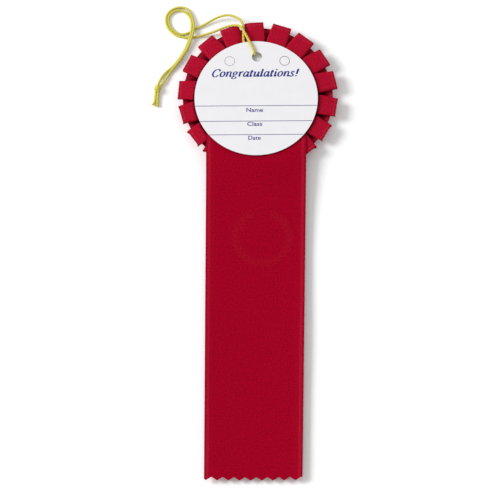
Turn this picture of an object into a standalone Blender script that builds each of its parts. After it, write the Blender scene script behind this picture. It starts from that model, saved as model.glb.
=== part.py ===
"""Award ribbon: a pleated satin rosette with a card back, one streamer and a loop of string.

It lies on its front. +Z points out of the card back, +Y towards the string, and the
origin is the middle of the front button's face, on the surface that it rests on.
Metres throughout; MM turns the millimetre values below into metres.
"""

import math

import bmesh
import bpy
from mathutils import Vector

MM = 0.001

# Clearance kept between pieces that touch on the real object.
GAP = 0.3 * MM

# Front button: the printed disc that faces the room.
BUTTON_RADIUS = 25.4 * MM
BUTTON_THICKNESS = 1.6 * MM
BUTTON_BEVEL = 0.3 * MM

# Hot-melt pads that hold the button and the card to the base disc.
FRONT_GLUE_SETBACK = 3.6 * MM
CARD_GLUE_SETBACK = 3.25 * MM
CARD_GLUE_THICKNESS = 0.8 * MM
CARD_GLUE_Y = -15.0 * MM

# Pleated ribbon: one length of satin folded into box pleats round a ring.
PLEAT_COUNT = 18
PLEAT_TURN_DEG = -2.5
PLEAT_DRIFT_DEG = (
    -0.4, 0.4, 0.0, 0.0, -0.6, 1.1, 2.3, 2.2, 1.5, 0.5, -0.5, -1.0, -2.6, -2.1, -2.4, -0.3, 1.2, 1.3
)
TAB_SHOWING = 9.25 * MM
RIBBON_WIDTH = 22.0 * MM
RIBBON_THICKNESS = 0.3 * MM
FRONT_TAB_INSET = 2.4 * MM
BACK_TAB_OUTER = 9.6 * MM
BACK_TAB_INNER = 10.5 * MM
FRONT_TAB_WIDTH = 13.0 * MM
TAB_SHARE_OF_PITCH = 0.93
LAYER_STEP = 0.7 * MM
FRONT_LIFT = 1.1 * MM
LAYER_OPENING = 0.15 * MM
FOLD_REACH = 0.4 * MM

# Stitching thread that gathers the pleats at their inner edge.
THREAD_RADIUS = 0.15 * MM
THREAD_SETBACK = 1.6 * MM

# Base disc: the greyboard that everything is fixed to.
BASE_OVERLAP = 9.0 * MM
BASE_THICKNESS = 1.0 * MM

# Wire staples that pin the streamer to the base disc.
STAPLE_RADIUS = 0.25 * MM
STAPLE_SPAN = 12.0 * MM
STAPLE_CLINCH = 3.2 * MM
STAPLE_SETBACK = 2.5 * MM
STAPLE_Y = -2.0 * MM

# Streamer: a flat satin ribbon that hangs from under the card.
STREAMER_WIDTH = 50.8 * MM
STREAMER_THICKNESS = 0.3 * MM
STREAMER_X = -1.2 * MM
STREAMER_TOP_Y = 7.0 * MM
HINGE_Y = -42.5 * MM
HINGE_GAP = 0.5 * MM
TAIL_LENGTH = 169.0 * MM
TAIL_DRIFT = -1.5 * MM
TAIL_TIP_HEIGHT = 0.2 * MM
TAIL_DROOP_POWER = 1.6
TAIL_ROWS = 12
FIRST_TIP = 0.95 * MM
TOOTH_PITCH = 5.64 * MM
TOOTH_DEPTH = 1.95 * MM
LEAST_SLIVER = 0.15

# Back card, its punched holes, and the two discs still in theirs.
CARD_RADIUS = 31.75 * MM
CARD_THICKNESS = 0.4 * MM
CARD_CENTRE = (-0.85 * MM, -2.05 * MM)
HOLE_RADIUS = 2.65 * MM
KNOCKOUT_CLEARANCE = 0.3 * MM
STRING_HOLE = (0.5 * MM, 23.0 * MM)
LEFT_HOLE = (-13.6 * MM, 20.6 * MM)
RIGHT_HOLE = (14.7 * MM, 20.8 * MM)

# String: a twisted cord through the middle hole, its ends tied in one knot.
STRING_RADIUS = 0.6 * MM
STRING_POINT_STEP = 4.2 * MM
KNOT_RADIUS = 1.6 * MM
KNOT_CENTRE = (-51.7, 4.6, 1.7)

# Routes of the string in millimetres: over the card, and under it.
FRONT_STRAND = (
    (-0.9, 21.15, 7.3), (-1.3, 21.6, 8.1), (-2.1, 22.8, 8.8), (-3.1, 25.4, 8.9), (-5.3, 31.2, 8.6),
    (-7.6, 35.9, 7.7), (-9.6, 38.6, 6.8), (-12.8, 40.1, 5.6), (-18.2, 39.3, 2.9), (-26.0, 36.3, 1.0),
    (-33.3, 34.1, 0.7), (-39.9, 34.4, 0.7), (-43.1, 35.7, 0.7), (-46.3, 38.3, 0.7), (-47.7, 42.2, 0.7),
    (-47.6, 45.4, 0.7), (-46.1, 48.3, 0.7), (-43.5, 50.4, 0.7), (-39.8, 51.1, 0.7), (-36.6, 50.2, 0.7),
    (-33.9, 47.2, 0.8), (-32.7, 43.1, 1.7), (-32.3, 39.3, 2.5), (-32.6, 35.9, 2.6), (-33.6, 32.2, 1.8),
    (-35.0, 29.4, 1.0), (-37.1, 25.3, 0.7), (-39.7, 20.8, 0.7), (-42.9, 16.4, 0.7), (-45.4, 12.9, 0.7),
    (-46.7, 9.9, 0.7), (-48.0, 7.2, 0.8), (-50.0, 5.4, 1.2),
)
BACK_STRAND = (
    (-1.7, 20.9, 6.45), (-3.2, 23.6, 6.45), (-5.2, 26.8, 6.45), (-7.0, 29.6, 6.45), (-7.9, 33.3, 6.2),
    (-7.6, 36.6, 5.95), (-7.4, 39.3, 5.9), (-8.6, 42.0, 5.3), (-10.6, 44.3, 4.2), (-14.8, 46.1, 2.3),
    (-21.3, 45.2, 0.9), (-26.7, 42.2, 0.7), (-32.1, 39.0, 0.7), (-36.4, 36.5, 0.7), (-39.8, 35.9, 0.7),
    (-42.3, 36.9, 0.7), (-44.7, 39.2, 0.7), (-46.2, 42.3, 0.7), (-46.1, 45.0, 0.7), (-45.0, 47.2, 0.7),
    (-42.9, 48.9, 0.7), (-40.1, 49.5, 0.7), (-37.6, 48.8, 0.7), (-35.5, 46.7, 0.8), (-34.2, 43.0, 1.6),
    (-33.8, 39.3, 2.5), (-34.1, 35.9, 2.6), (-35.0, 32.7, 1.8), (-36.4, 29.9, 1.0), (-38.6, 25.7, 0.7),
    (-41.2, 21.5, 0.7), (-44.3, 17.1, 0.7), (-47.0, 13.9, 0.7), (-49.3, 10.8, 0.7), (-51.0, 8.2, 0.9),
    (-51.5, 6.6, 1.2),
)
LEFT_END = ((-52.6, 2.8, 1.2), (-53.2, 1.2, 0.8), (-53.7, -0.9, 0.7), (-53.9, -3.1, 0.7))
RIGHT_END = ((-51.1, 2.7, 1.2), (-51.4, 0.9, 0.8), (-51.7, -1.6, 0.7), (-51.8, -4.6, 0.7))

# The tabs show past the card's edge, and the base disc covers the pleats' sewn inner edge.
RING_RADIUS = CARD_RADIUS + TAB_SHOWING
BASE_RADIUS = RING_RADIUS - RIBBON_WIDTH + BASE_OVERLAP

# The glue pad fills the pleats' open middle, the staples stand outside it, and the card's
# glue pad lies between them.
FRONT_GLUE_RADIUS = RING_RADIUS - RIBBON_WIDTH - FRONT_TAB_INSET - FRONT_GLUE_SETBACK
STAPLE_X = FRONT_GLUE_RADIUS + STAPLE_SETBACK
CARD_GLUE_RADIUS = STAPLE_X - STAPLE_RADIUS - CARD_GLUE_SETBACK

# Heights of the stack, each piece a gap above the one that it lies on.
PLEAT_FRONT_Z = BUTTON_THICKNESS + GAP + RIBBON_THICKNESS / 2
PLEAT_MIDDLE_Z = PLEAT_FRONT_Z + LAYER_STEP
PLEAT_BACK_Z = PLEAT_MIDDLE_Z + LAYER_STEP
PLEAT_TOP_Z = PLEAT_BACK_Z + RIBBON_THICKNESS / 2
THREAD_Z = PLEAT_TOP_Z + GAP + THREAD_RADIUS
BASE_Z = THREAD_Z + THREAD_RADIUS + GAP
STREAMER_Z = BASE_Z + BASE_THICKNESS + GAP
CARD_GLUE_Z = STREAMER_Z + STREAMER_THICKNESS + GAP
CARD_Z = CARD_GLUE_Z + CARD_GLUE_THICKNESS + GAP
HINGE_Z = STREAMER_Z + STREAMER_THICKNESS / 2

# The base disc covers the pleats up to its rim, and past it the layers open out.
OPENING_START = BASE_RADIUS + 1.0 * MM


def clear_scene():
    for obj in list(bpy.data.objects):
        bpy.data.objects.remove(obj, do_unlink=True)


def make_collection(name):
    collection = bpy.data.collections.new(name)
    bpy.context.scene.collection.children.link(collection)
    return collection


def make_material(name, colour, roughness, metallic=0.0):
    material = bpy.data.materials.new(name)
    material.use_nodes = True
    shader = material.node_tree.nodes["Principled BSDF"]
    shader.inputs["Base Color"].default_value = (*colour, 1.0)
    shader.inputs["Roughness"].default_value = roughness
    shader.inputs["Metallic"].default_value = metallic
    return material


def add_mesh_object(name, bm, collection, material):
    mesh = bpy.data.meshes.new(name)
    bm.to_mesh(mesh)
    bm.free()
    obj = bpy.data.objects.new(name, mesh)
    collection.objects.link(obj)
    if material:
        mesh.materials.append(material)
    return obj


def shade_round(obj):
    obj.data.shade_smooth()
    obj.data.set_sharp_from_angle(angle=math.radians(40))


def make_disc(name, radius, thickness, segments, collection, material):
    """A flat disc whose origin is the middle of its lower face."""
    bm = bmesh.new()
    bmesh.ops.create_cone(
        bm, cap_ends=True, segments=segments, radius1=radius, radius2=radius, depth=thickness
    )
    bmesh.ops.translate(bm, vec=(0, 0, thickness / 2), verts=bm.verts)
    return add_mesh_object(name, bm, collection, material)


def make_sheet(name, rows, thickness, closed, collection, material):
    """A surface through rows of points, given its thickness half to each side."""
    bm = bmesh.new()
    grid = [[bm.verts.new(point) for point in row] for row in rows]
    count = len(rows[0])
    spans = count if closed else count - 1
    for near, far in zip(grid, grid[1:]):
        for i in range(spans):
            j = (i + 1) % count
            bm.faces.new((near[i], near[j], far[j], far[i]))
    bmesh.ops.recalc_face_normals(bm, faces=bm.faces)
    obj = add_mesh_object(name, bm, collection, material)
    solidify = obj.modifiers.new("Thickness", "SOLIDIFY")
    solidify.thickness = thickness
    solidify.offset = 0
    solidify.use_even_offset = True
    return obj


def cut(obj, cutter):
    cutter.hide_render = True
    cutter.display_type = "WIRE"
    boolean = obj.modifiers.new("Cut " + cutter.name, "BOOLEAN")
    boolean.operation = "DIFFERENCE"
    boolean.object = cutter


def make_hole_cutter(name, radius, bottom, top, place, collection):
    """A drill along Z that runs past both faces of the sheet that it cuts."""
    overrun = 0.5 * MM
    cutter = make_disc(name, radius, top - bottom + 2 * overrun, 32, collection, None)
    cutter.location = (*place, bottom - overrun)
    return cutter


def smooth_route(points, step):
    """The route's own points, with more about a step apart on a Catmull-Rom curve between them."""
    knots = [Vector(p) * MM for p in points]
    knots = [2 * knots[0] - knots[1], *knots, 2 * knots[-1] - knots[-2]]
    route = []
    for a, b, c, d in zip(knots, knots[1:], knots[2:], knots[3:]):
        count = max(1, round((c - b).length / step))
        for k in range(count):
            t = k / count
            bend = (c - a) * t + (2 * a - 5 * b + 4 * c - d) * t**2 + (3 * b - a - 3 * c + d) * t**3
            route.append(b + 0.5 * bend)
    return route + [knots[-2]]


def make_tube(name, route, radius, collection, material, cyclic=False):
    curve = bpy.data.curves.new(name, "CURVE")
    curve.dimensions = "3D"
    curve.bevel_depth = radius
    curve.bevel_resolution = 2
    curve.use_fill_caps = not cyclic
    spline = curve.splines.new("POLY")
    spline.points.add(len(route) - 1)
    for point, place in zip(spline.points, route):
        point.co = (*place, 1.0)
    spline.use_cyclic_u = cyclic
    obj = bpy.data.objects.new(name, curve)
    collection.objects.link(obj)
    curve.materials.append(material)
    return obj


def tab_axis(index):
    """Turn of a back tab from +Y, clockwise seen from the card side."""
    step = 360 / PLEAT_COUNT
    place = index % PLEAT_COUNT
    turns = index // PLEAT_COUNT
    drift = PLEAT_DRIFT_DEG[place % len(PLEAT_DRIFT_DEG)]
    return math.radians(step * place + PLEAT_TURN_DEG + drift + 360 * turns)


def at_axis(axis, across, out, height):
    """A point given across and outwards from the centre in a tab's own directions."""
    x = across * math.cos(axis) + out * math.sin(axis)
    y = out * math.cos(axis) - across * math.sin(axis)
    return Vector((x, y, height))


def pleat_row(share):
    """One line of points round the ring; share runs from 0 at its inner edge to 1 at its outer."""
    back_out = RING_RADIUS - RIBBON_WIDTH * (1 - share)
    front_out = back_out - FRONT_TAB_INSET
    card_share = 1 - (RING_RADIUS - CARD_RADIUS) / RIBBON_WIDTH
    narrowing = max(0.0, (share - card_share) / (1 - card_share))
    wanted = BACK_TAB_INNER + (BACK_TAB_OUTER - BACK_TAB_INNER) * narrowing
    pitch = 2 * math.pi / PLEAT_COUNT
    half_back = min(wanted, TAB_SHARE_OF_PITCH * pitch * back_out) / 2
    half_front = min(FRONT_TAB_WIDTH, TAB_SHARE_OF_PITCH * pitch * front_out) / 2
    opening = max(0.0, (back_out - OPENING_START) / (RING_RADIUS - OPENING_START))
    front_z = PLEAT_FRONT_Z + FRONT_LIFT * opening
    middle_z = PLEAT_MIDDLE_Z + (FRONT_LIFT + LAYER_OPENING) * opening
    back_z = PLEAT_BACK_Z + (FRONT_LIFT + 2 * LAYER_OPENING) * opening
    row = []
    for k in range(PLEAT_COUNT):
        back = tab_axis(k)
        following = tab_axis(k + 1)
        front = (back + following) / 2
        upper = (middle_z + back_z) / 2
        lower = (front_z + middle_z) / 2
        row += [
            at_axis(back, FOLD_REACH - half_back, back_out, back_z),
            at_axis(back, half_back - FOLD_REACH, back_out, back_z),
            at_axis(back, half_back, back_out, upper),
            at_axis(back, half_back - FOLD_REACH, back_out, middle_z),
            at_axis(front, FOLD_REACH - half_front, front_out, middle_z),
            at_axis(front, -half_front, front_out, lower),
            at_axis(front, FOLD_REACH - half_front, front_out, front_z),
            at_axis(front, half_front - FOLD_REACH, front_out, front_z),
            at_axis(front, half_front, front_out, lower),
            at_axis(front, half_front - FOLD_REACH, front_out, middle_z),
            at_axis(following, FOLD_REACH - half_back, back_out, middle_z),
            at_axis(following, -half_back, back_out, upper),
        ]
    return row


def make_pleated_ribbon(collection, material):
    opening_share = 1 - (RING_RADIUS - OPENING_START) / RIBBON_WIDTH
    card_share = 1 - (RING_RADIUS - CARD_RADIUS) / RIBBON_WIDTH
    rows = [pleat_row(share) for share in sorted({0.0, opening_share, card_share, 1.0})]
    make_sheet("pleated_ribbon", rows, RIBBON_THICKNESS, True, collection, material)


def make_pleat_thread(collection, material):
    radius = RING_RADIUS - RIBBON_WIDTH + THREAD_SETBACK
    route = [
        Vector((radius * math.cos(a), radius * math.sin(a), THREAD_Z))
        for a in (math.tau * k / 48 for k in range(48))
    ]
    make_tube("pleat_thread", route, THREAD_RADIUS, collection, material, cyclic=True)


def make_front_button(collection, material):
    button = make_disc("front_button", BUTTON_RADIUS, BUTTON_THICKNESS, 96, collection, material)
    bevel = button.modifiers.new("Edge", "BEVEL")
    bevel.width = BUTTON_BEVEL
    bevel.segments = 2
    shade_round(button)


def make_glue_pads(collection, material):
    thickness = BASE_Z - GAP - (BUTTON_THICKNESS + GAP)
    front = make_disc("front_glue", FRONT_GLUE_RADIUS, thickness, 40, collection, material)
    front.location.z = BUTTON_THICKNESS + GAP
    card = make_disc("card_glue", CARD_GLUE_RADIUS, CARD_GLUE_THICKNESS, 40, collection, material)
    card.location = (0, CARD_GLUE_Y, CARD_GLUE_Z)
    shade_round(front)
    shade_round(card)


def staple_places():
    return {"staple_left": -STAPLE_X, "staple_right": STAPLE_X}


def leg_places():
    return [STAPLE_Y - STAPLE_SPAN / 2, STAPLE_Y + STAPLE_SPAN / 2]


def make_staples(collection, material):
    crown_z = STREAMER_Z + STREAMER_THICKNESS + GAP + STAPLE_RADIUS
    clinch_z = BASE_Z - GAP - STAPLE_RADIUS
    low, high = leg_places()
    for name, x in staple_places().items():
        route = [
            Vector((x, low + STAPLE_CLINCH, clinch_z)),
            Vector((x, low, clinch_z)),
            Vector((x, low, crown_z)),
            Vector((x, high, crown_z)),
            Vector((x, high, clinch_z)),
            Vector((x, high - STAPLE_CLINCH, clinch_z)),
        ]
        make_tube(name, route, STAPLE_RADIUS, collection, material)


def cut_staple_holes(obj, bottom, top, cutters):
    for name, x in staple_places().items():
        for k, y in enumerate(leg_places()):
            place = (x, y)
            label = f"{obj.name}_{name}_{k}"
            radius = STAPLE_RADIUS + GAP
            cut(obj, make_hole_cutter(label, radius, bottom, top, place, cutters))


def make_base_disc(collection, cutters, material):
    base = make_disc("base_disc", BASE_RADIUS, BASE_THICKNESS, 72, collection, material)
    base.location.z = BASE_Z
    cut_staple_holes(base, BASE_Z, BASE_Z + BASE_THICKNESS, cutters)


def make_streamer_top(collection, cutters, material):
    low = HINGE_Y + HINGE_GAP / 2
    bm = bmesh.new()
    bmesh.ops.create_cube(bm, size=1)
    size = (STREAMER_WIDTH, STREAMER_TOP_Y - low, STREAMER_THICKNESS)
    bmesh.ops.scale(bm, vec=size, verts=bm.verts)
    top = add_mesh_object("streamer_top", bm, collection, material)
    top.location = (STREAMER_X, (STREAMER_TOP_Y + low) / 2, HINGE_Z)
    cut_staple_holes(top, STREAMER_Z, STREAMER_Z + STREAMER_THICKNESS, cutters)


def tail_columns():
    """Places across the tail: its two edges, and each tooth's tip and valley between them."""
    half = TOOTH_PITCH / 2
    count = math.ceil((STREAMER_WIDTH - FIRST_TIP) / half - LEAST_SLIVER)
    return [0.0, *(FIRST_TIP + half * k for k in range(count)), STREAMER_WIDTH]


def tooth_cut(across):
    """How far the pinked end stops short of the tips, 0 at a tip."""
    phase = ((across - FIRST_TIP) / TOOTH_PITCH) % 1.0
    return TOOTH_DEPTH * (1 - abs(1 - 2 * phase))


def make_streamer_tail(collection, material):
    """The tail droops from the rosette's height until its tips meet the surface."""
    start = HINGE_Y - HINGE_GAP / 2
    low_z = TAIL_TIP_HEIGHT + STREAMER_THICKNESS / 2
    pivot = bpy.data.objects.new("streamer_pivot", None)
    collection.objects.link(pivot)
    pivot.location = (STREAMER_X, HINGE_Y, HINGE_Z)
    rows = []
    for k in range(TAIL_ROWS + 1):
        share = k / TAIL_ROWS
        row = []
        for across in tail_columns():
            length = TAIL_LENGTH * share - (tooth_cut(across) if k == TAIL_ROWS else 0.0)
            x = across - STREAMER_WIDTH / 2 + TAIL_DRIFT * share
            z = low_z + (HINGE_Z - low_z) * (1 - share) ** TAIL_DROOP_POWER
            row.append(Vector((x, start - HINGE_Y - length, z - HINGE_Z)))
        rows.append(row)
    tail = make_sheet("streamer_tail", rows, STREAMER_THICKNESS, False, collection, material)
    tail.parent = pivot


def card_place(offset):
    return (CARD_CENTRE[0] + offset[0], CARD_CENTRE[1] + offset[1])


def make_back_card(collection, cutters, material):
    card = make_disc("back_card", CARD_RADIUS, CARD_THICKNESS, 96, collection, material)
    card.location = (*CARD_CENTRE, CARD_Z)
    top = CARD_Z + CARD_THICKNESS
    for k, offset in enumerate((STRING_HOLE, LEFT_HOLE, RIGHT_HOLE)):
        place = card_place(offset)
        cut(card, make_hole_cutter(f"card_hole_{k}", HOLE_RADIUS, CARD_Z, top, place, cutters))


def make_knockouts(collection, material):
    radius = HOLE_RADIUS - KNOCKOUT_CLEARANCE
    for name, offset in {"left_knockout": LEFT_HOLE, "right_knockout": RIGHT_HOLE}.items():
        disc = make_disc(name, radius, CARD_THICKNESS, 32, collection, material)
        disc.location = (*card_place(offset), CARD_Z)


def make_string(collection, material):
    """Two strands meet at the hole and run side by side to the knot, past which the ends stop."""
    routes = {
        "string_front": FRONT_STRAND,
        "string_back": BACK_STRAND,
        "string_end_left": LEFT_END,
        "string_end_right": RIGHT_END,
    }
    for name, points in routes.items():
        route = smooth_route(points, STRING_POINT_STEP)
        make_tube(name, route, STRING_RADIUS, collection, material)
    bm = bmesh.new()
    bmesh.ops.create_uvsphere(bm, u_segments=16, v_segments=10, radius=KNOT_RADIUS)
    knot = add_mesh_object("string_knot", bm, collection, material)
    knot.location = Vector(KNOT_CENTRE) * MM
    shade_round(knot)


def build():
    clear_scene()
    parts = make_collection("award_ribbon")
    cutters = make_collection("cutters")
    button_card = make_material("button_card", (0.75, 0.55, 0.16), 0.35)
    glue = make_material("hot_melt", (0.82, 0.74, 0.55), 0.45)
    pleat_satin = make_material("pleat_satin", (0.42, 0.004, 0.022), 0.42)
    streamer_satin = make_material("streamer_satin", (0.33, 0.002, 0.013), 0.45)
    thread = make_material("thread", (0.36, 0.006, 0.02), 0.7)
    greyboard = make_material("greyboard", (0.42, 0.42, 0.41), 0.9)
    wire = make_material("staple_wire", (0.62, 0.62, 0.64), 0.3, 1.0)
    card_stock = make_material("card_stock", (0.86, 0.86, 0.87), 0.55)
    string = make_material("string", (0.70, 0.58, 0.03), 0.8)

    make_front_button(parts, button_card)
    make_glue_pads(parts, glue)
    make_pleated_ribbon(parts, pleat_satin)
    make_pleat_thread(parts, thread)
    make_base_disc(parts, cutters, greyboard)
    make_staples(parts, wire)
    make_streamer_top(parts, cutters, streamer_satin)
    make_streamer_tail(parts, streamer_satin)
    make_back_card(parts, cutters, card_stock)
    make_knockouts(parts, card_stock)
    make_string(parts, string)


build()
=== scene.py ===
import math

import bmesh
import bpy
from mathutils import Matrix, Vector, noise


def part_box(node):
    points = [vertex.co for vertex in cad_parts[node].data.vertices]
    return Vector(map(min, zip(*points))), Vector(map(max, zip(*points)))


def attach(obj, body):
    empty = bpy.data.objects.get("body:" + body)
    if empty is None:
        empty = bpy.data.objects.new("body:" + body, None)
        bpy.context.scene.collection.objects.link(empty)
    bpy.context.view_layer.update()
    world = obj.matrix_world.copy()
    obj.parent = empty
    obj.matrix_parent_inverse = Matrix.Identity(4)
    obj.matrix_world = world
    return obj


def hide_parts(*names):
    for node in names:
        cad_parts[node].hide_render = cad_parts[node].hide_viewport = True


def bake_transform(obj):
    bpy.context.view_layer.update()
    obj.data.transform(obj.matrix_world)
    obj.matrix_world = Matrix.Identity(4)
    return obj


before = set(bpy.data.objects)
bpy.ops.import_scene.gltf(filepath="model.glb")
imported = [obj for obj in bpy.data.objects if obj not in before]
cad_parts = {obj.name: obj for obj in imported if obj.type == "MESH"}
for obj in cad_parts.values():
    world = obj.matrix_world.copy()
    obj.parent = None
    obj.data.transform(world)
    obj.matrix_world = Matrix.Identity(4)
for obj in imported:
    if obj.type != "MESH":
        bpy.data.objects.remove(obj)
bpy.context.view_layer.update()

MM = 0.001


# FRONT BUTTON
# The disc that faces the room: a pressed metal rim round a white enamelled face, with a raised
# star in a ring of leaves. It lies face down, glued through the pleats to the board behind them.

def clear_selection():
    if bpy.context.object and bpy.context.object.mode != "OBJECT":
        bpy.ops.object.mode_set(mode="OBJECT")
    bpy.ops.object.select_all(action="DESELECT")


def pick(piece):
    """Makes the piece the only one that is selected, and the one that modifiers and operators act on."""
    clear_selection()
    piece.select_set(True)
    bpy.context.view_layer.objects.active = piece


def select(piece, kind, wanted):
    """Edit mode on the piece, with only the faces or edges that are wanted selected."""
    pick(piece)
    bpy.ops.object.mode_set(mode="EDIT")
    bpy.ops.mesh.select_mode(type=kind)
    bpy.ops.mesh.select_all(action="DESELECT")
    edited = bmesh.from_edit_mesh(piece.data)
    for part in {"FACE": edited.faces, "EDGE": edited.edges, "VERT": edited.verts}[kind]:
        if wanted(part):
            part.select_set(True)
    bmesh.update_edit_mesh(piece.data)


def finish_shape(piece, name, smooth_angle=35):
    """Names the piece, puts its place into its mesh, and smooths its shading but for sharp edges."""
    pick(piece)
    piece.name = name
    piece.data.name = name
    bpy.ops.object.transform_apply(location=True, rotation=True, scale=True)
    bpy.ops.object.shade_smooth_by_angle(angle=math.radians(smooth_angle))
    return piece


def add(tree, kind, values=None, **settings):
    """A node with its settings, and its inputs given as numbers, colours or other nodes' outputs."""
    made = tree.nodes.new(kind)
    for key, value in settings.items():
        setattr(made, key, value)
    for key, value in (values or {}).items():
        if isinstance(value, bpy.types.NodeSocket):
            tree.links.new(value, made.inputs[key])
        else:
            made.inputs[key].default_value = value
    return made


def calc(tree, operation, *terms):
    return add(tree, "ShaderNodeMath", dict(enumerate(terms)), operation=operation).outputs[0]


def fade(tree, value, start, end, low=0.0, high=1.0):
    """Low before start, high after end, and a smooth rise between them."""
    places = {"Value": value, "From Min": start, "From Max": end, "To Min": low, "To Max": high}
    return add(tree, "ShaderNodeMapRange", places, interpolation_type="SMOOTHSTEP").outputs[0]


def mix(tree, share, first, second, way="MIX"):
    values = {0: share, 6: first, 7: second}
    return add(tree, "ShaderNodeMix", values, data_type="RGBA", blend_type=way).outputs[2]


def new_group(name, inputs, outputs):
    """A shader group with named sockets: {name: (kind, value)} in, {name: kind} out."""
    tree = bpy.data.node_groups.new(name, "ShaderNodeTree")
    for label, (kind, value) in inputs.items():
        socket = tree.interface.new_socket(label, in_out="INPUT", socket_type="NodeSocket" + kind)
        if value is not None:
            socket.default_value = value
    for label, kind in outputs.items():
        tree.interface.new_socket(label, in_out="OUTPUT", socket_type="NodeSocket" + kind)
    return tree, tree.nodes.new("NodeGroupInput").outputs, tree.nodes.new("NodeGroupOutput").inputs


def place_group(tree, group, values):
    made = tree.nodes.new("ShaderNodeGroup")
    made.node_tree = group
    for key, value in values.items():
        if isinstance(value, bpy.types.NodeSocket):
            tree.links.new(value, made.inputs[key])
        else:
            made.inputs[key].default_value = value
    return made.outputs


def new_material(name, **constants):
    """A material whose shader has these constants set on its own sockets."""
    material = bpy.data.materials.new(name)
    material.use_nodes = True
    shader = material.node_tree.nodes["Principled BSDF"]
    for key, value in constants.items():
        shader.inputs[key.replace("_", " ")].default_value = value
    return material, material.node_tree, shader


def own_place(tree):
    return tree.nodes.new("ShaderNodeTexCoord").outputs["Object"]


def cloudy(tree, place, scale, detail, roughness=0.5):
    """Soft noise at that place, finer as its scale grows."""
    values = {"Vector": place, "Scale": scale, "Detail": detail, "Roughness": roughness}
    return add(tree, "ShaderNodeTexNoise", values).outputs["Fac"]


def raise_bump(tree, shader, height, distance, strength=1.0):
    values = {"Strength": strength, "Distance": distance, "Height": height}
    tree.links.new(add(tree, "ShaderNodeBump", values).outputs["Normal"], shader.inputs["Normal"])


def dress(tree, shader, colour, roughness, height, distance, strength):
    """Gives the shader its colour and roughness, and bumps of that height, distance and strength."""
    tree.links.new(colour, shader.inputs["Base Color"])
    tree.links.new(roughness, shader.inputs["Roughness"])
    raise_bump(tree, shader, height, distance, strength)


def unevenness(tree, blotch, grain):
    return place_group(tree, uneven, {"Place": own_place(tree), "Blotch size": blotch, "Grain size": grain})


def round_rim(radius):
    """Picks the edges that lie flat along a round piece's outer rim."""

    def on_rim(edge):
        first, second = (corner.co for corner in edge.verts)
        out = min(first.to_2d().length, second.to_2d().length)
        return out > radius - 0.1 * MM and abs(first.z - second.z) < 0.05 * MM

    return on_rim


def new_disc(sides, radius, low, high):
    """A cylinder in the middle of that box, as high as it is."""
    clear_selection()
    middle = (low + high) / 2
    bpy.ops.mesh.primitive_cylinder_add(vertices=sides, radius=radius, depth=high.z - low.z, location=middle)
    return bpy.context.object


# Fine unevenness that many finishes share: soft blotches, and a finer grain that also gives a height.
uneven, given, gives = new_group(
    "unevenness",
    {"Place": ("Vector", None), "Blotch size": ("Float", 0.01), "Grain size": ("Float", 0.0005)},
    {"Blotches": "Float", "Grain": "Float", "Height": "Float"},
)
for label, size, detail in (("Blotches", "Blotch size", 3.0), ("Grain", "Grain size", 5.0)):
    cloud = cloudy(uneven, given["Place"], calc(uneven, "DIVIDE", 1.0, given[size]), detail, 0.6)
    uneven.links.new(cloud, gives[label])
uneven.links.new(cloud, gives["Height"])


def gold_finish(name, colour, roughness):
    material, tree, shader = new_material(name, Metallic=1.0)
    parts = unevenness(tree, 0.006, 0.0003)
    dull = [part * 0.78 for part in colour]
    worn = mix(tree, fade(tree, parts["Blotches"], 0.35, 0.7), (*colour, 1), (*dull, 1))
    matt = fade(tree, parts["Grain"], 0.3, 0.7, roughness, roughness + 0.14)
    dress(tree, shader, worn, matt, parts["Height"], 0.00002, 0.4)
    return material


BUTTON_RADIUS = 25.4 * MM
RIM_WIDTH, RIM_SLOPE, FACE_DEPTH = 1.3 * MM, 0.25 * MM, 0.35 * MM
low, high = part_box("front_button")
button = new_disc(160, BUTTON_RADIUS, low, high)
select(button, "FACE", lambda f: f.normal.z < -0.9)
bpy.ops.mesh.inset(thickness=RIM_WIDTH)
bpy.ops.mesh.inset(thickness=RIM_SLOPE, depth=-FACE_DEPTH)
select(button, "EDGE", round_rim(BUTTON_RADIUS))
bpy.ops.mesh.bevel(offset=0.3 * MM, segments=4, affect="EDGES")
finish_shape(button, "button")

rim_gold = gold_finish("pressed rim", (0.82, 0.57, 0.2), 0.24)
enamel, tree, shader = new_material("white enamel", Coat_Weight=0.6, Coat_Roughness=0.08)
parts = unevenness(tree, 0.009, 0.0004)
colour = mix(tree, parts["Blotches"], (0.83, 0.82, 0.8, 1), (0.76, 0.75, 0.73, 1))
dress(tree, shader, colour, fade(tree, parts["Grain"], 0.3, 0.7, 0.28, 0.4), parts["Height"], 0.00001, 0.3)
button.data.materials.append(rim_gold)
button.data.materials.append(enamel)
for face in button.data.polygons:
    inside = face.center.to_2d().length < BUTTON_RADIUS - RIM_WIDTH - RIM_SLOPE - 0.05 * MM
    face.material_index = 1 if inside and face.normal.z < -0.9 else 0
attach(button, "rosette")
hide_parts("front_button")

# The star starts as a ten-sided face; every other corner is drawn in, and its middle raised.
FACE_Z = low.z + FACE_DEPTH
EMBLEM_PLACE = (0, 0, FACE_Z - 0.01 * MM)
clear_selection()
bpy.ops.mesh.primitive_circle_add(vertices=10, radius=8.6 * MM, fill_type="NGON", location=EMBLEM_PLACE)
star = bpy.context.object
select(star, "VERT", lambda v: round(math.degrees(math.atan2(v.co.x, v.co.y)) / 36) % 2 == 1)
bpy.ops.transform.resize(value=(0.42, 0.42, 1), center_override=(0, 0, FACE_Z))
select(star, "FACE", lambda f: True)
bpy.ops.mesh.extrude_region_move(TRANSFORM_OT_translate={"value": (0, 0, -0.1 * MM)})
bpy.ops.mesh.poke(offset=0.2 * MM, center_mode="MEDIAN")
bpy.ops.mesh.select_all(action="SELECT")
bpy.ops.mesh.normals_make_consistent(inside=False)
bpy.ops.object.mode_set(mode="OBJECT")
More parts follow.
